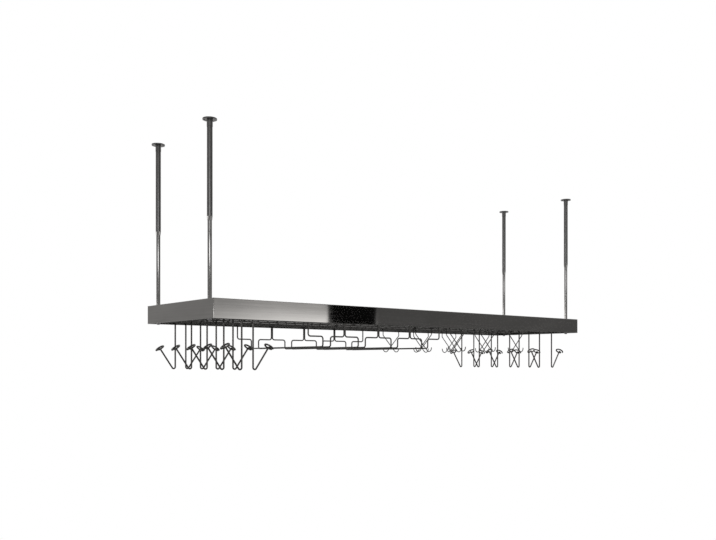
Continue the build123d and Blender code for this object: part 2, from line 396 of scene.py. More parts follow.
class Nodes:
    """A node tree with short calls for adding and joining its nodes."""

    def __init__(self, tree: bpy.types.NodeTree) -> None:
        """Work on a tree."""
        self.tree = tree

    def add(self, kind: str, **values: Any) -> bpy.types.Node:
        """Add a node and set its properties, or its inputs where it has no such property.

        Args:
            kind: The node's type, without the ShaderNode prefix.
            **values: Values by name, with spaces in an input's name as underscores.

        Returns:
            The node.
        """
        node = self.tree.nodes.new(f"ShaderNode{kind}")
        for name, value in values.items():
            if hasattr(node, name):
                setattr(node, name, value)
            else:
                node.inputs[name.replace("_", " ")].default_value = value
        return node

    def join(self, source: Any, target: bpy.types.NodeSocket) -> None:
        """Link a socket to another, or set the other to a number.

        Args:
            source: The socket or number.
            target: The input that takes it.
        """
        if isinstance(source, bpy.types.NodeSocket):
            self.tree.links.new(source, target)
        else:
            target.default_value = source

    def math(self, operation: str, first: Any, second: Any = 0.0) -> bpy.types.NodeSocket:
        """Work on two sockets or numbers with a Math node.

        Args:
            operation: The Math node's operation.
            first: The first socket or number.
            second: The second one, where the operation has two.

        Returns:
            The result's socket.
        """
        node = self.add("Math", operation=operation)
        self.join(first, node.inputs[0])
        self.join(second, node.inputs[1])
        return node.outputs[0]

    def ramp(self, source: Any, low: float, high: float, out: tuple[Any, Any], smooth: bool = False) -> Any:
        """Map a value from one range to another, and hold it at the ends.

        Args:
            source: The value's socket or number.
            low: The value that gives the first of out.
            high: The value that gives the second of out.
            out: Two sockets or numbers.
            smooth: Whether the step starts and ends softly.

        Returns:
            The result's socket.
        """
        node = self.add("MapRange", interpolation_type="SMOOTHSTEP" if smooth else "LINEAR")
        names = ("Value", "From Min", "From Max", "To Min", "To Max")
        for value, name in zip((source, low, high, *out), names):
            self.join(value, node.inputs[name])
        return node.outputs["Result"]

    def noise(self, where: bpy.types.NodeSocket, scale: tuple[float, float, float], detail: float) -> Any:
        """Make a noise. Most of its values lie between 0.3 and 0.7.

        Args:
            where: The coordinates' socket.
            scale: How many cells it has in a metre along each axis.
            detail: How many finer layers it has.

        Returns:
            The noise's socket.
        """
        mapping = self.add("Mapping", vector_type="POINT")
        mapping.inputs["Scale"].default_value = scale
        self.join(where, mapping.inputs["Vector"])
        noise = self.add("TexNoise", Scale=1.0, Detail=detail, Roughness=0.6)
        self.join(mapping.outputs["Vector"], noise.inputs["Vector"])
        return noise.outputs["Fac"]


class Shader(Nodes):
    """A material's nodes: they start as only its Principled shader and output."""

    def __init__(self, name: str) -> None:
        """Start a material.

        Args:
            name: The material's name.
        """
        self.material = bpy.data.materials.new(name)
        self.material.use_nodes = True
        super().__init__(self.material.node_tree)
        self.metal = self.tree.nodes["Principled BSDF"]

    def dye(self, tint: tuple[float, float, float], amount: Any) -> None:
        """Make the shader metal, with a tint that changes a little from place to place.

        Args:
            tint: The middle of the tint.
            amount: The socket that is 0 where the tint is darkest and 1 where it is lightest.
        """
        tone = self.add("MixRGB")
        tone.inputs[1].default_value = (*[c * (1 - TONE_SWING) for c in tint], 1)
        tone.inputs[2].default_value = (*[c * (1 + TONE_SWING) for c in tint], 1)
        self.join(amount, tone.inputs[0])
        self.join(tone.outputs[0], self.metal.inputs["Base Color"])
        self.metal.inputs["Metallic"].default_value = 1.0

    def bump(self, height: Any, strength: float, distance: float) -> bpy.types.Node:
        """Add a Bump node that reads a height.

        Args:
            height: The height's socket.
            strength: The share of the bump that shows.
            distance: How far the surface would rise from a height of 0 to a height of 1.

        Returns:
            The node.
        """
        node = self.add("Bump", Strength=strength, Distance=distance)
        self.join(height, node.inputs["Height"])
        return node


@dataclass(frozen=True)
class PolishedSheet:
    """Mirror-polished dark sheet, lined along its length, so that it spreads light up and down only.

    Gloss is the roughness, from the clearest places to the most smeared ones. A noise's scale is how many
    cells of it go into a metre along each axis.
    """

    name: str
    tint: tuple[float, float, float]
    gloss: tuple[float, float] = (0.035, 0.055)
    spread: float = 0.85
    # As a share of a full turn, from the direction of the lines
    spread_turn: float = 0.25
    line_scale: tuple[float, float, float] = (4.0, 320.0, 1.0)
    line_gloss: tuple[float, float] = (0.8, 1.25)
    line_strength: float = 0.012
    line_depth: float = 0.2 * MM
    smear_scale: tuple[float, float, float] = (7.0, 7.0, 16.0)
    wave_scale: tuple[float, float, float] = (5.0, 5.0, 9.0)
    wave_strength: float = 0.02
    wave_depth: float = 2 * MM

    def material(self) -> bpy.types.Material:
        """Make the finish. Its lines follow the piece's own surface map.

        Returns:
            The material.
        """
        shader = Shader(self.name)
        chart = shader.add("UVMap", uv_map="surface").outputs["UV"]
        where = shader.add("TexCoord").outputs["Object"]
        lines = shader.noise(chart, self.line_scale, 5.0)
        smears = shader.noise(where, self.smear_scale, 5.0)
        waves = shader.noise(where, self.wave_scale, 1.0)
        smeared = shader.ramp(smears, 0.3, 0.75, self.gloss)
        gloss = shader.math("MULTIPLY", smeared, shader.ramp(lines, 0.3, 0.7, self.line_gloss))
        shader.join(gloss, shader.metal.inputs["Roughness"])
        shader.metal.inputs["Anisotropic"].default_value = self.spread
        shader.metal.inputs["Anisotropic Rotation"].default_value = self.spread_turn
        along = shader.add("Tangent", direction_type="UV_MAP", uv_map="surface")
        shader.join(along.outputs[0], shader.metal.inputs["Tangent"])
        half_smears, half_lines = (shader.math("MULTIPLY", noise, 0.5) for noise in (smears, lines))
        streaks = shader.math("ADD", half_smears, half_lines)
        shader.dye(self.tint, shader.ramp(streaks, 0.35, 0.65, (0.0, 1.0)))
        fine = shader.bump(lines, self.line_strength, self.line_depth)
        broad = shader.bump(waves, self.wave_strength, self.wave_depth)
        shader.join(fine.outputs["Normal"], broad.inputs["Normal"])
        shader.join(broad.outputs["Normal"], shader.metal.inputs["Normal"])
        return shader.material


@dataclass(frozen=True)
class DrawnMetal:
    """Polished drawn wire or tube: hairlines along its length, and patches of softer gloss.

    Gloss is the roughness, from the clearest patches to the softest. A noise's scale is how many cells of
    it go into a metre along each axis.
    """

    name: str
    tint: tuple[float, float, float]
    gloss: tuple[float, float]
    hair_scale: tuple[float, float, float] = (9.0, 1100.0, 1.0)
    hair_gloss: tuple[float, float] = (-0.01, 0.02)
    hair_strength: float = 0.002
    hair_depth: float = 0.1 * MM
    patch_scale: tuple[float, float, float] = (38.0, 38.0, 22.0)

    def material(self) -> bpy.types.Material:
        """Make the finish. Its hairlines follow the piece's own surface map.

        Returns:
            The material.
        """
        shader = Shader(self.name)
        chart = shader.add("UVMap", uv_map="surface").outputs["UV"]
        where = shader.add("TexCoord").outputs["Object"]
        hairs = shader.noise(chart, self.hair_scale, 3.0)
        patches = shader.noise(where, self.patch_scale, 4.0)
        patched = shader.ramp(patches, 0.3, 0.75, self.gloss)
        gloss = shader.math("ADD", patched, shader.ramp(hairs, 0.3, 0.7, self.hair_gloss))
        shader.join(gloss, shader.metal.inputs["Roughness"])
        shader.dye(self.tint, shader.ramp(patches, 0.35, 0.7, (0.0, 1.0)))
        bump = shader.bump(hairs, self.hair_strength, self.hair_depth)
        shader.join(bump.outputs["Normal"], shader.metal.inputs["Normal"])
        return shader.material


def dress(piece: bpy.types.Object, material: bpy.types.Material, slot: Slot, body: str, *nodes: str) -> None:
    """Give a piece its material and its body, and let it stand for its nodes.

    Args:
        piece: The finished piece.
        material: Its finish.
        slot: The part's material slot; not used.
        body: The body that carries it.
        *nodes: The CAD nodes that it replaces.
    """
    piece.data.materials.clear()
    piece.data.materials.append(material)
    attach(piece, body)
    if nodes:
        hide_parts(*nodes)
    log.info("%s: %d faces, rides on %s", piece.name, len(piece.data.polygons), body)


# The tray


@dataclass
class Tray:
    """The tray: four folded walls, seven rails, four tie bars and a floor of rods.

    A fold is rounded outside by fold and inside by tight_fold, a cut edge by edge, and the upright
    corners between the walls by corner.
    """

    length: float = 1500 * MM
    depth: float = 377 * MM
    height: float = 50 * MM
    floor: float = -495 * MM
    sheet: float = 1.2 * MM
    hem: float = 5 * MM
    lip: float = 31 * MM
    fold: float = 1.5 * MM
    tight_fold: float = 0.4 * MM
    edge: float = 0.25 * MM
    corner: float = 1.1 * MM
    corner_rings: int = 5
    rail: float = 5 * MM
    rail_height: float = 6.5 * MM
    rail_inset: float = 10.8 * MM
    rail_count: int = 5
    anchor_rail_inset: float = 25.7 * MM
    floor_rod: float = 4 * MM
    rod_pitch: float = 31.25 * MM
    rod_count: int = 47
    bar_height: float = 6 * MM
    bar_edge: float = 0.3 * MM

    @property
    def rail_z(self) -> float:
        """The height of the rails' middle."""
        return self.floor + self.rail_height

    @property
    def hook_rails(self) -> np.ndarray:
        """The Y of the rails that hooks hang on, from the front."""
        reach = self.depth / 2 - self.rail_inset
        return np.linspace(-reach, reach, self.rail_count)

    @property
    def anchor_rails(self) -> dict[str, float]:
        """The Y of each row of anchor hooks."""
        reach = self.depth / 2 - self.anchor_rail_inset
        return {"front": -reach, "middle": 0.0, "back": reach}

    def section(self, lip: float) -> np.ndarray:
        """The outline of a folded strip, as (inward, height) points, anticlockwise.

        Args:
            lip: The reach of the lip at its foot, or 0 for none.

        Returns:
            The outline, its folds and edges rounded.
        """
        low, high, t = self.floor, self.floor + self.height, self.sheet
        if lip:
            foot = [
                (0, low, self.fold), (lip, low, self.edge), (lip, low + t, self.edge),
                (t, low + t, self.tight_fold),
            ]
        else:
            foot = [(0, low, self.edge), (t, low, self.edge)]
        hem = [
            (t, high - t, self.tight_fold), (self.hem, high - t, self.edge), (self.hem, high, self.edge),
            (0, high, self.fold),
        ]
        return rounded_outline(foot + hem)

    def wall(
        self,
        inward: tuple[float, float],
        reach: float,
        half: float,
        lip: float,
        corner: float,
        hem_gap: float,
    ) -> Patch:
        """A folded strip, its section carried along the wall.

        Near each end the outer face rolls in by corner (1 - sin a) at corner (1 - cos a) from the end,
        and the hem stops a gap short of it, so that it meets the next wall's hem.

        Args:
            inward: The direction from the outer face into the tray.
            reach: How far the outer face is from the tray's middle.
            half: Half of the strip's length.
            lip: The reach of the lip at its foot, or 0.
            corner: The radius at the strip's two upright outer edges, or 0.
            hem_gap: How far the hem stops short of each end.

        Returns:
            The closed patch.
        """
        section = self.section(lip)
        depth, height = section[:, 0], section[:, 1]
        angles = np.linspace(0, math.pi / 2, self.corner_rings)
        close = corner * (1 - np.cos(angles))
        along = np.concatenate([close - half, half - close[::-1]])
        roll = np.concatenate([1 - np.sin(angles), 1 - np.sin(angles[::-1])]) * corner
        outer = np.clip(1 - depth / self.sheet, 0, 1)
        in_hem = (depth > self.sheet) & (height > self.floor + self.height / 2)
        limit = half - hem_gap * in_hem
        along = np.clip(along[:, None], -limit, limit)
        depth = depth + roll[:, None] * outer
        inside = np.array([*inward, 0.0])
        beside = np.cross(inside, [0.0, 0.0, 1.0])
        grid = inside * (depth - reach)[..., None] + beside * along[..., None]
        grid[..., 2] += height
        chart = np.stack([along, depth + height], -1)
        return Patch.ringed(grid, chart)

    def build(self, sheet: bpy.types.Material, wire: bpy.types.Material) -> None:
        """Build the tray's pieces and dress them.

        Args:
            sheet: The finish of the walls.
            wire: The finish of rails, bars and rods.
        """
        half_x, half_y = self.length / 2, self.depth / 2
        inner = half_y - self.sheet
        for name, side in (("front_wall", 1), ("back_wall", -1)):
            patch = self.wall((0, side), half_y, half_x, 0, self.corner, self.sheet)
            dress(make_piece(f"{name}_sheet", [patch]), sheet, Slot.SHEET, Body.TRAY.value, name)
        for name, side in (("left_end", 1), ("right_end", -1)):
            patch = self.wall((side, 0), half_x, inner, self.lip, 0, self.hem - self.sheet)
            dress(make_piece(f"{name}_sheet", [patch]), sheet, Slot.SHEET, Body.TRAY.value, name)
        reach = half_x - self.sheet
        # The middle row of anchor hooks has no rail of its own: it hangs on the middle hook rail
        rows = [*self.hook_rails, *[y for y in self.anchor_rails.values() if y]]
        rails = [straight_wire((-reach, y, self.rail_z), (reach, y, self.rail_z), self.rail) for y in rows]
        dress(make_piece("rail_bars", rails), wire, Slot.WIRE, Body.TRAY.value, "hanging_rails")
        rod_z = self.rail_z + self.rail / 2 + self.bar_height + self.floor_rod / 2
        places = (np.arange(self.rod_count) - self.rod_count // 2) * self.rod_pitch
        rods = [straight_wire((x, -inner, rod_z), (x, inner, rod_z), self.floor_rod) for x in places]
        dress(make_piece("floor_grid", rods), wire, Slot.WIRE, Body.TRAY.value, "floor_rods")
        dress(eased_copy("tie_bars", self.bar_edge), wire, Slot.WIRE, Body.TRAY.value, "tie_bars")


def eased_copy(node: str, width: float, merge: float = 0.001 * MM, flat: float = 1.0) -> bpy.types.Object:
    """A copy of a CAD node with its edges eased by a small bevel.

    Args:
        node: The node's name.
        width: The bevel's width.
        merge: The distance within which the node's loose triangles are joined.
        flat: The angle in degrees below which faces that meet become one.

    Returns:
        The new piece.
    """
    source = bpy.data.objects[node].data
    mesh = bpy.data.meshes.new(f"{node}_eased")
    shape = bmesh.new()
    shape.from_mesh(source)
    bmesh.ops.remove_doubles(shape, verts=shape.verts, dist=merge)
    bmesh.ops.dissolve_limit(shape, angle_limit=math.radians(flat), verts=shape.verts, edges=shape.edges)
    shape.to_mesh(mesh)
    shape.free()
    mesh.polygons.foreach_set("use_smooth", np.ones(len(mesh.polygons), bool))
    mesh.set_sharp_from_angle(angle=math.radians(SHARP))
    if not mesh.uv_layers:
        mesh.uv_layers.new(name="surface")
    mesh.uv_layers[0].name = "surface"
    piece = bpy.data.objects.new(f"{node}_eased", mesh)
    bpy.context.scene.collection.objects.link(piece)
    bevel = piece.modifiers.new("ease", "BEVEL")
    bevel.width = width
    bevel.segments = 2
    bevel.limit_method = "ANGLE"
    bevel.angle_limit = math.radians(SHARP)
    keep_flats(piece)
    return piece


# The posts


@dataclass
class Posts:
    """Four posts: a flange on the ceiling, a tube, a tapered collar, a rod and its screw.

    Each stands x and y from the rack's middle. The rod's top and the tube's foot and head are heights. The
    collar's own value is its length, the socket's its width across flats, and edges, nose and shoulder
    are radii. Rod, tube, bores, tip and screw head are given by their diameters.
    """

    tray: Tray
    x: float = 737.8 * MM
    y: float = 145.9 * MM
    rod: float = 11 * MM
    rod_top: float = -121 * MM
    tube: float = 14 * MM
    bore: float = 12 * MM
    tube_foot: float = -241 * MM
    tube_head: float = -20 * MM
    collar: float = 10 * MM
    collar_bore: float = 11.4 * MM
    collar_tip: float = 12.2 * MM
    collar_edge: float = 0.1 * MM
    collar_nose: float = 0.25 * MM
    collar_shoulder: float = 0.3 * MM
    edge: float = 0.4 * MM
    flange_edge: float = 0.3 * MM
    screw_head: float = 10.5 * MM
    screw_height: float = 3.3 * MM
    screw_sides: int = 36
    dome_rings: int = 7
    land: float = 0.7 * MM
    socket: float = 4 * MM
    socket_depth: float = 2 * MM
    # The rings of the socket, at its mouth, round its floor and on its floor, as shares of its width
    socket_rings: tuple[float, ...] = (1.0, 0.98, 0.5)

    @property
    def places(self) -> dict[str, tuple[float, float]]:
        """Each post's name and axis."""
        rows, sides = (("front", -self.y), ("back", self.y)), (("left", -self.x), ("right", self.x))
        return {f"{row}_{side}": (x, y) for row, y in rows for side, x in sides}

    def rod_patch(self, x: float, y: float) -> Patch:
        """A lower rod that stands on the tray's lip, with eased ends.

        Args:
            x: The post's X.
            y: The post's Y.

        Returns:
            The closed patch.
        """
        radius, ease, foot = self.rod / 2, self.edge, self.tray.floor + self.tray.sheet
        outline = [
            (radius / 2, foot), (radius - ease / 2, foot), (radius, foot + ease / 2),
            (radius, self.rod_top - ease), (radius - ease, self.rod_top), (radius / 2, self.rod_top),
        ]
        return turned_patch(np.array(outline), x, y, False)

    def tube_patch(self, x: float, y: float) -> Patch:
        """An upper tube with eased ends.

        Args:
            x: The post's X.
            y: The post's Y.

        Returns:
            The closed patch.
        """
        outer, bore, ease = self.tube / 2, self.bore / 2, self.edge / 2
        corners = [
            (bore, self.tube_foot, ease / 2), (outer, self.tube_foot, ease), (outer, self.tube_head, ease),
            (bore, self.tube_head, ease / 2),
        ]
        return turned_patch(rounded_outline(corners), x, y, True)

    def collar_patch(self, x: float, y: float) -> Patch:
        """A collar that tapers from the tube to the rod, with a rounded nose.

        Args:
            x: The post's X.
            y: The post's Y.

        Returns:
            The closed patch.
        """
        bore, tip, foot = self.collar_bore / 2, self.collar_tip / 2, self.tube_foot - self.collar
        corners = [
            (bore, foot, self.collar_edge), (tip, foot, self.collar_nose),
            (self.tube / 2, self.tube_foot, self.collar_shoulder), (bore, self.tube_foot, self.collar_edge),
        ]
        return turned_patch(rounded_outline(corners), x, y, True)

    def screw_patch(self, x: float, y: float) -> Patch:
        """A button head under the lip, with a hexagonal socket.

        The dome's radius falls as the cosine of an angle while it goes down as its sine, to a flat land
        round the socket. The socket's rings have the radius of a hexagon: half its width over the cosine
        of the angle from the nearest flat's middle.

        Args:
            x: The post's X.
            y: The post's Y.

        Returns:
            The closed patch.
        """
        angles = np.linspace(0, 2 * math.pi, self.screw_sides, endpoint=False)
        bend = np.linspace(0, math.pi / 2, self.dome_rings)
        radius, land = self.screw_head / 2, self.socket / 2 + self.land
        dome = land + (radius - land) * np.cos(bend)
        hexagon = self.socket / 2 / np.cos((angles % (math.pi / 3)) - math.pi / 6)
        rings = [np.full(self.screw_sides, r) for r in dome]
        rings += [hexagon * share for share in self.socket_rings]
        bottom = self.tray.floor - self.screw_height
        drop = self.tray.floor - self.screw_height * np.sin(bend)
        socket_floor = bottom + self.socket_depth
        heights = np.array([*drop, bottom, socket_floor, socket_floor])[::-1, None]
        radii = np.array(rings)[::-1]
        grid = np.stack(np.broadcast_arrays(
            x + radii * np.cos(angles), y + radii * np.sin(angles), heights,
        ), -1)
        chart = np.stack(np.broadcast_arrays(heights, (angles * radius)[None]), -1)
        return Patch.ringed(grid, chart)

    def build(self, tube: bpy.types.Material, rod: bpy.types.Material, screw: bpy.types.Material) -> None:
        """Build the posts and dress them.

        Args:
            tube: The finish of tubes and flanges.
            rod: The finish of rods and collars.
            screw: The finish of the screws.
        """
        for post, (x, y) in self.places.items():
            lower = make_piece(f"rod_{post}", [self.rod_patch(x, y)], TURNED_SHARP)
            dress(lower, rod, Slot.ROD, Body.TRAY.value, f"lower_rod_{post}")
            upper = make_piece(f"tube_{post}", [self.tube_patch(x, y)], TURNED_SHARP)
            dress(upper, tube, Slot.TUBE, Body.CEILING.value, f"upper_tube_{post}")
        collars = [self.collar_patch(x, y) for x, y in self.places.values()]
        dress(make_piece("tapered_collars", collars), rod, Slot.ROD, Body.CEILING.value, "lock_collars")
        screws = [self.screw_patch(x, y) for x, y in self.places.values()]
        dress(make_piece("button_screws", screws), screw, Slot.SCREW, Body.TRAY.value, "rod_screws")
        flanges = eased_copy("ceiling_flanges", self.flange_edge)
        dress(flanges, tube, Slot.TUBE, Body.CEILING.value, "ceiling_flanges")


# The hangers


@dataclass
class Hanger:
    """What all hangers share: a crook over a rail of the tray.

    The gap is between crook and rail, and the tail is how far the crook's free end goes below the rail's
    middle.
    """

    tray: Tray
    wire: float
    gap: float = 0.3 * MM
    tail: float = 1.5 * MM

    @property
    def crook_radius(self) -> float:
        """The radius of the crook's centreline."""
        return self.tray.rail / 2 + self.gap + self.wire / 2

    def crook(self, x: float, rail_y: float, side: int) -> tuple[list[Corner], float]:
        """The corners of a crook, from its free tail to its stem.

        Args:
            x: The crook's X.
            rail_y: The rail's Y.
            side: -1 for a stem in front of the rail, 1 for one behind it.

        Returns:
            The corners, and the stem's Y.
        """
        radius = self.crook_radius
        stem_y, tail_y, top = rail_y + side * radius, rail_y - side * radius, self.tray.rail_z + radius
        over = [Corner((x, y, top), radius) for y in (tail_y, stem_y)]
        return [Corner((x, tail_y, self.tray.rail_z - self.tail)), *over], stem_y


@dataclass
class FootRails(Hanger):
    """Bent wires that carry round feet between them, in pairs but for the two at the ends of the row.

    Drops are from the tray's bottom to the wire's centreline, and the legs' reach is from a pair's middle.
    """

    wire: float = 4 * MM
    count: int = 5
    first: float = -465 * MM
    pitch: float = 124 * MM
    arm_drop: float = 37 * MM
    leg_drop: float = 65 * MM
    leg_reach: float = 49 * MM
    bend: float = 7 * MM

    def wire_patch(self, x: float, arm: int, stem_gap: float) -> Patch:
        """One wire: down from the front rail, out, down, along under the tray, and up to the back rail.

        Args:
            x: The X of the foot rail's middle.
            arm: -1 for the wire whose arms reach to the left, 1 for the right one.
            stem_gap: How far its stems stand from the middle.

        Returns:
            The wire's closed patch.
        """
        stem_x, leg_x = x + arm * stem_gap, x + arm * self.leg_reach
        front, front_y = self.crook(stem_x, self.tray.hook_rails[0], -1)
        back, back_y = self.crook(stem_x, self.tray.hook_rails[-1], 1)
        arm_z, foot_z = self.tray.floor - self.arm_drop, self.tray.floor - self.leg_drop
        loop = [
            (stem_x, front_y, arm_z), (leg_x, front_y, arm_z), (leg_x, front_y, foot_z),
            (leg_x, back_y, foot_z), (leg_x, back_y, arm_z), (stem_x, back_y, arm_z),
        ]
        corners = [*front, *[Corner(place, self.bend) for place in loop], *back[::-1]]
        return wire_patch(WireRoute(corners), self.wire)

    def build(self, metal: bpy.types.Material) -> None:
        """Build each foot rail on its own body.

        Args:
            metal: The finish of the wires.
        """
        # The first and last of the row have an arm on their inner side only
        single = {0: (1,), self.count - 1: (-1,)}
        for k in range(self.count):
            node = f"foot_rail_{k + 1}"
            arms = single.get(k, (-1, 1))
            gap = self.wire / 2 if len(arms) > 1 else 0.0
            patches = [self.wire_patch(self.first + k * self.pitch, arm, gap) for arm in arms]
            dress(make_piece(f"{node}_wire", patches), metal, Slot.WIRE, node, node)


@dataclass(frozen=True)
class Column:
    """A column of hooks: its X, the side its arms lean to, and how many stems stand before their rails."""

    x: float
    facing: int
    in_front: int


@dataclass
class RingHooks(Hanger):
    """Hooks with a stem, a rising arm and a wire ring as a head, in four columns.

    The stem's drop is from the tray's bottom to the centreline's lowest point, and the head's to the
    ring's middle. The arm leans away from upright.
    """

    wire: float = 4.5 * MM
    stem_drop: float = 125 * MM
    bend: float = 5 * MM
    lean: float = math.radians(34.5)
    head_drop: float = 67.5 * MM
    head: float = 27.5 * MM
    leg_bend: float = 3 * MM
    ring_turn: float = math.radians(322)
    columns: dict[str, Column] = field(default_factory=lambda: {
        "left_outer": Column(-669 * MM, -1, 4),
        "left_inner": Column(-636 * MM, 1, 1),
        "right_inner": Column(531 * MM, -1, 2),
        "right_outer": Column(600 * MM, 1, 1),
    })

    def hook_patch(self, x: float, rail_y: float, side: int, facing: int) -> Patch:
        """One hook: its crook, stem, tight bend and arm, then a leg that curls into the ring.

        The leg meets the ring through a small arc that touches both. With ring radius R and arc radius r
        the arc starts at the square root of (R - r) squared less r squared from the ring's middle.

        Args:
            x: The stem's X.
            rail_y: The rail's Y.
            side: -1 for a stem in front of the rail, 1 for one behind it.
            facing: -1 for an arm that leans to the left, 1 for one to the right.

        Returns:
            The wire's closed patch.
        """
        corners, stem_y = self.crook(x, rail_y, side)
        rise = np.array([facing * math.sin(self.lean), 0, math.cos(self.lean)])
        across = np.array([facing * math.cos(self.lean), 0, -math.sin(self.lean)])
        corner_z = self.tray.floor - self.stem_drop + self.bend - self.bend / math.tan(self.lean / 2)
        foot = np.array([x, stem_y, corner_z])
        height = self.tray.floor - self.head_drop - corner_z
        middle = foot + rise * (height / math.cos(self.lean))
        mean, small = (self.head - self.wire) / 2, self.leg_bend
        touch = math.asin(small / (mean - small))
        leg_end = middle + across * math.sqrt((mean - small) ** 2 - small**2)
        axis = tuple(np.cross(across, [0.0, 1.0, 0.0]))
        corners += [Corner(tuple(foot), self.bend), Corner(tuple(middle), small), Corner(tuple(leg_end))]
        curls = [Curl(small, math.pi / 2 + touch, axis), Curl(mean, self.ring_turn - touch, axis)]
        return wire_patch(WireRoute(corners, curls), self.wire)

    def build(self, metal: bpy.types.Material) -> None:
        """Build each hook on its own body.

        Args:
            metal: The finish of the wires.
        """
        for name, column in self.columns.items():
            for k, y in enumerate(self.tray.hook_rails):
                node = f"ring_hook_{name}_{k + 1}"
                patch = self.hook_patch(column.x, y, -1 if k < column.in_front else 1, column.facing)
                dress(make_piece(f"{node}_wire", [patch]), metal, Slot.WIRE, node, node)


@dataclass
class AnchorHooks(Hanger):
    """Hooks of two crossing wires that end in upturned curls, in three rows of three.

    Drops are from the tray's bottom to the centreline, at the shoulder's corner and where the wires cross.
    The span and the curl's reach are from the crossing, and the tip's rise goes on from the curl's end.
    """

    wire: float = 3 * MM
    span: float = 36 * MM
    shoulder_drop: float = 13.5 * MM
    cross_drop: float = 50 * MM
    curl_reach: float = 38 * MM
    curl_radius: float = 12 * MM
    tip_rise: float = 2 * MM
    shoulder_bend: float = 8 * MM
    first: float = 139 * MM
    pitch: float = 147 * MM
    count: int = 3

    def wire_patch(self, x: float, rail_y: float, side: int, hand: int) -> Patch:
        """One wire of a hook: from its crook in to the crossing, on past it, and up in a curl.

        Args:
            x: The X of the crossing.
            rail_y: The rail's Y.
            side: -1 for stems in front of the rail, 1 for stems behind it.
            hand: 1 for the wire from the right, which lies a wire further from the rail, -1 for the other.

        Returns:
            The wire's closed patch.
        """
        corners, stem_y = self.crook(x + hand * self.span, rail_y, side)
        plane_y = stem_y + (side * self.wire if hand > 0 else 0)
        slope = (self.cross_drop - self.shoulder_drop) / self.span
        tip_x = x - hand * self.curl_reach
        corner_z = self.tray.floor - self.cross_drop - slope * self.curl_reach
        turn = math.pi / 2 + math.atan(slope)
        tip_z = corner_z + self.curl_radius * math.tan(turn / 2) + self.tip_rise
        corners += [
            Corner((x + hand * self.span, plane_y, self.tray.floor - self.shoulder_drop), self.shoulder_bend),
            Corner((tip_x, plane_y, corner_z), self.curl_radius),
            Corner((tip_x, plane_y, tip_z)),
        ]
        return wire_patch(WireRoute(corners), self.wire)

    def build(self, metal: bpy.types.Material) -> None:
        """Build each hook on its own body.

        Args:
            metal: The finish of the wires.
        """
        for row, y in self.tray.anchor_rails.items():
            side = 1 if row == "front" else -1
            for k in range(self.count):
                node = f"anchor_hook_{row}_{k + 1}"
                patches = [self.wire_patch(self.first + k * self.pitch, y, side, hand) for hand in (-1, 1)]
                dress(make_piece(f"{node}_wire", patches), metal, Slot.WIRE, node, node)


# The studio


@dataclass(frozen=True)
class CeilingView:
    """The camera: level, below the tray and to its left front.

    The heading is in degrees to the right of square on the tray's front. The lens and the frame's width
    are in millimetres, and the rise is how far the frame is moved up, as a share of its width.
    """

    place: tuple[float, float, float] = (-1652.5 * MM, -1824.3 * MM, -600 * MM)
    heading: float = 39.63
    lens: float = 38.2
    frame_width: float = 36.0
    rise: float = 0.1278
    nearest: float = 0.02
    farthest: float = 60.0

    def set_up(self) -> None:
        """Create the camera and make it the scene's own."""
        data = bpy.data.cameras.new("view")
        data.sensor_fit = "HORIZONTAL"
        data.sensor_width = self.frame_width
        data.lens = self.lens
        data.shift_y = self.rise
        data.clip_start = self.nearest
        data.clip_end = self.farthest
        camera = bpy.data.objects.new("view", data)
        camera.location = self.place
        camera.rotation_euler = (math.radians(90), 0, math.radians(-self.heading))
        bpy.context.scene.collection.objects.link(camera)
        bpy.context.scene.camera = camera
        log.info("camera at %s", self.place)


@dataclass(frozen=True)
class Softbox:
    """A lamp: where it is, its width and height, and how bright its face is, aimed at the rack."""

    place: tuple[float, float, float]
    width: float
    height: float
    brightness: float

    def set_up(self, name: str, aim: tuple[float, float, float]) -> None:
        """Hang the lamp. Its power is pi times its area times the brightness of its face.

        Args:
            name: The lamp's name.
            aim: The point that it faces.
        """
        data = bpy.data.lights.new(name, "AREA")
        data.shape = "RECTANGLE"
        data.size, data.size_y = self.width, self.height
        data.energy = math.pi * self.width * self.height * self.brightness
        light = bpy.data.objects.new(name, data)
        away = np.array(self.place) - np.array(aim)
        light.location = self.place
        level = math.atan2(math.hypot(away[0], away[1]), away[2])
        light.rotation_euler = (level, 0, math.atan2(away[1], away[0]) + math.pi / 2)
        bpy.context.scene.collection.objects.link(light)


@dataclass(frozen=True)
class Card:
    """A card of light or dark on the studio's wall. Angles are in degrees, round the compass and up.

    Its mask is the product of four smooth steps, each as wide as that edge is soft.
    """

    sides: tuple[float, float]
    side_edges: tuple[float, float]
    heights: tuple[float, float]
    height_edges: tuple[float, float]
    level: float

    def lay(self, nodes: Nodes, turn: Any, rise: Any, room: Any) -> Any:
        """Lay the card over the room.

        Args:
            nodes: The world's nodes.
            turn: The compass angle's socket.
            rise: The socket of the angle above the horizon.
            room: The brightness so far.

        Returns:
            The brightness with the card in place.
        """
        mask = 1.0
        bounds = ((turn, self.sides, self.side_edges), (rise, self.heights, self.height_edges))
        for angle, ends, edges in bounds:
            for end, edge, out in zip(ends, edges, ((0.0, 1.0), (1.0, 0.0))):
                step = nodes.ramp(angle, end - edge / 2, end + edge / 2, out, True)
                mask = nodes.math("MULTIPLY", step, mask)
        return nodes.ramp(mask, 0.0, 1.0, (room, self.level))


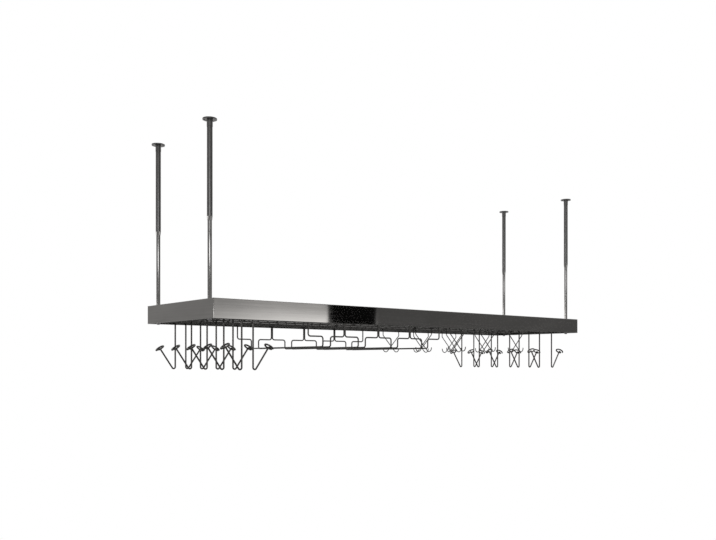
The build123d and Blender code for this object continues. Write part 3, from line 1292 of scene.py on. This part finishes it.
@dataclass(frozen=True)
class Studio:
    """A white studio: a pale floor far below, soft lamps, and walls of light and dark that metal shows.

    Lengths are in metres. Between the two distances of white_reach from the middle, the camera sees more
    and more plain white in place of the floor, by white_shares. What the metal shows of the floor is painted
    shade, dark near the middle: its tones are painted_shade_tones, from the nearer distance of
    painted_shade_reach to the farther one.
    """

    floor_z: float = -2.3
    floor_side: float = 24.0
    floor_tint: tuple[float, float, float] = (0.8, 0.8, 0.79)
    floor_roughness: float = 0.7
    white_reach: tuple[float, float] = (1.2, 3.2)
    white_shares: tuple[float, float] = (0.6, 1.0)
    # The floor's tone that metal sees is painted shade, darkest near the middle under the rack
    painted_shade_reach: tuple[float, float] = (3.0, 6.0)
    painted_shade_tones: tuple[float, float] = (0.18, 0.9)
    room_tint: tuple[float, float, float] = (1.0, 0.985, 0.965)
    aim: tuple[float, float, float] = (0.0, 0.0, -0.4)
    # The walls round the rack as (angle, brightness), by degrees from the front towards the right
    walls: tuple[tuple[float, float], ...] = (
        (-180, 0.42), (-151, 0.43), (-120, 0.5), (-70, 0.42), (-25, 0.5), (5, 0.42), (22, 0.5), (29, 0.68),
        (36, 1.0), (37.5, 0.85), (41, 0.2), (45, 0.175), (57, 0.175), (75, 0.5), (110, 0.8), (150, 0.6),
        (180, 0.45),
    )
    # The room gets brighter between these degrees above the horizon, until it is this many times as bright
    overhead_rise: tuple[float, float] = (15.0, 75.0)
    overhead: float = 1.8
    # Each card lies over the ones before it
    cards: tuple[Card, ...] = (
        # A darker wall above the glow
        Card((4, 62), (12, 8), (6.5, 40), (3, 20), 0.26),
        # The glow that the front wall shows
        Card((30.5, 60), (15, 1), (-12, 3.5), (2, 1.7), 2.5),
        # A strip that the tray's front left corner shows
        Card((-142, -95), (8, 10), (2.9, 3.8), (0.3, 0.3), 8.0),
        # The dark upright
        Card((37.35, 41.05), (0.15, 0.15), (-12, 14), (4, 6), 0.006),
        # The even dark beside it
        Card((41.05, 58), (0.15, 4), (-12, 6), (4, 4), 0.18),
        # The light along the horizon
        Card((5, 85), (20, 20), (-9, 0.5), (6, 0.8), 1.7),
        # The dark behind the rack, between the floor's edge and the horizon
        Card((110, 400), (30, 1), (-12, 0.3), (3, 1.0), 0.04),
    )
    # Two long strips at the left front, and two square ones above
    lamps: tuple[Softbox, ...] = (
        Softbox((-2.3, -2.75, 0.115), 2.6, 0.17, 3.6),
        Softbox((-2.3, -2.75, 0.45), 2.6, 0.3, 1.3),
        Softbox((-1.6, -1.2, 2.8), 1.6, 1.6, 3.0),
        Softbox((1.6, 1.4, 2.8), 1.6, 1.6, 3.0),
    )

    def set_up(self) -> None:
        """Make the world, the floor and the lamps."""
        self.make_world()
        self.make_floor()
        for number, lamp in enumerate(self.lamps):
            lamp.set_up(f"softbox_{number}", self.aim)

    def make_world(self) -> None:
        """White to the camera, and to everything else a room whose walls change round the compass."""
        world = bpy.data.worlds.new("studio")
        world.use_nodes = True
        bpy.context.scene.world = world
        nodes = Nodes(world.node_tree)
        way = nodes.add("SeparateXYZ")
        nodes.join(nodes.add("TexCoord").outputs["Generated"], way.inputs[0])
        x, y, z = way.outputs
        turn = nodes.math("DEGREES", nodes.math("ARCTAN2", x, nodes.math("MULTIPLY", y, -1.0)))
        rise = nodes.math("DEGREES", nodes.math("ARCSINE", z))
        curve = nodes.add("FloatCurve")
        points = curve.mapping.curves[0].points
        while len(points) < len(self.walls):
            points.new(0.5, 0.5)
        for point, (degrees, level) in zip(points, self.walls):
            point.location = (degrees / 360 + 0.5, level)
            point.handle_type = "VECTOR"
        curve.mapping.update()
        nodes.join(nodes.ramp(turn, -180.0, 180.0, (0.0, 1.0)), curve.inputs["Value"])
        overhead = nodes.ramp(rise, *self.overhead_rise, (1.0, self.overhead), True)
        room = nodes.math("MULTIPLY", curve.outputs[0], overhead)
        for card in self.cards:
            room = card.lay(nodes, turn, rise, room)
        lit = nodes.tree.nodes["Background"]
        lit.inputs["Color"].default_value = (*self.room_tint, 1)
        nodes.join(room, lit.inputs["Strength"])
        white = nodes.add("Background", Color=(1, 1, 1, 1))
        mix = nodes.add("MixShader")
        nodes.join(nodes.add("LightPath").outputs["Is Camera Ray"], mix.inputs[0])
        nodes.join(lit.outputs[0], mix.inputs[1])
        nodes.join(white.outputs[0], mix.inputs[2])
        nodes.join(mix.outputs[0], nodes.tree.nodes["World Output"].inputs["Surface"])

    def make_floor(self) -> None:
        """A pale floor whose shading fades to plain white further out; metal sees painted shade near by."""
        half = self.floor_side / 2
        corners = np.array([(-half, -half), (half, -half), (half, half), (-half, half)])
        points = np.column_stack([corners, np.full(4, self.floor_z)])
        mesh = bpy.data.meshes.new("floor")
        mesh.from_pydata(points.tolist(), [], [(0, 1, 2, 3)])
        floor = bpy.data.objects.new("floor", mesh)
        bpy.context.scene.collection.objects.link(floor)
        shader = Shader("pale_floor")
        seen = shader.add("LightPath").outputs["Is Camera Ray"]
        tone = shader.add("MixRGB")
        tone.inputs[2].default_value = (*self.floor_tint, 1)
        shader.join(seen, tone.inputs[0])
        shader.join(tone.outputs[0], shader.metal.inputs["Base Color"])
        shader.metal.inputs["Roughness"].default_value = self.floor_roughness
        glow = shader.add("Emission", Color=(1, 1, 1, 1))
        flat = shader.add("VectorMath", operation="MULTIPLY")
        flat.inputs[1].default_value = (1, 1, 0)
        shader.join(shader.add("TexCoord").outputs["Object"], flat.inputs[0])
        length = shader.add("VectorMath", operation="LENGTH")
        shader.join(flat.outputs[0], length.inputs[0])
        reach = length.outputs["Value"]
        # Painted shade: to reflected rays the floor is darker near the rack and paler further out
        shown = shader.ramp(reach, *self.painted_shade_reach, self.painted_shade_tones, True)
        shader.join(shown, tone.inputs[1])
        white = shader.ramp(reach, *self.white_reach, self.white_shares)
        mix = shader.add("MixShader")
        shader.join(shader.math("MULTIPLY", white, seen), mix.inputs[0])
        shader.join(shader.metal.outputs[0], mix.inputs[1])
        shader.join(glow.outputs[0], mix.inputs[2])
        shader.join(mix.outputs[0], shader.tree.nodes["Material Output"].inputs["Surface"])
        mesh.materials.append(shader.material)


def main() -> None:
    """Load the frame, build each sub-assembly in order and report it."""
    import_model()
    bpy.context.scene.view_settings.view_transform = "Standard"
    CeilingView().set_up()
    Studio().set_up()
    sheet = PolishedSheet("polished_sheet", tint=(0.30, 0.295, 0.29)).material()
    wire = DrawnMetal("drawn_wire", tint=(0.092, 0.09, 0.088), gloss=(0.12, 0.2)).material()
    tube = DrawnMetal("satin_tube", tint=(0.155, 0.154, 0.154), gloss=(0.16, 0.24)).material()
    rod = DrawnMetal("polished_rod", tint=(0.26, 0.258, 0.256), gloss=(0.06, 0.1)).material()
    screw = DrawnMetal("satin_screw", tint=(0.3, 0.3, 0.31), gloss=(0.25, 0.35)).material()
    tray = Tray()
    tray.build(sheet, wire)
    Posts(tray).build(tube, rod, screw)
    FootRails(tray).build(wire)
    RingHooks(tray).build(wire)
    AnchorHooks(tray).build(wire)


if __name__ == "__main__":
    logging.basicConfig(level=logging.INFO, format="%(name)s %(message)s")
    main()
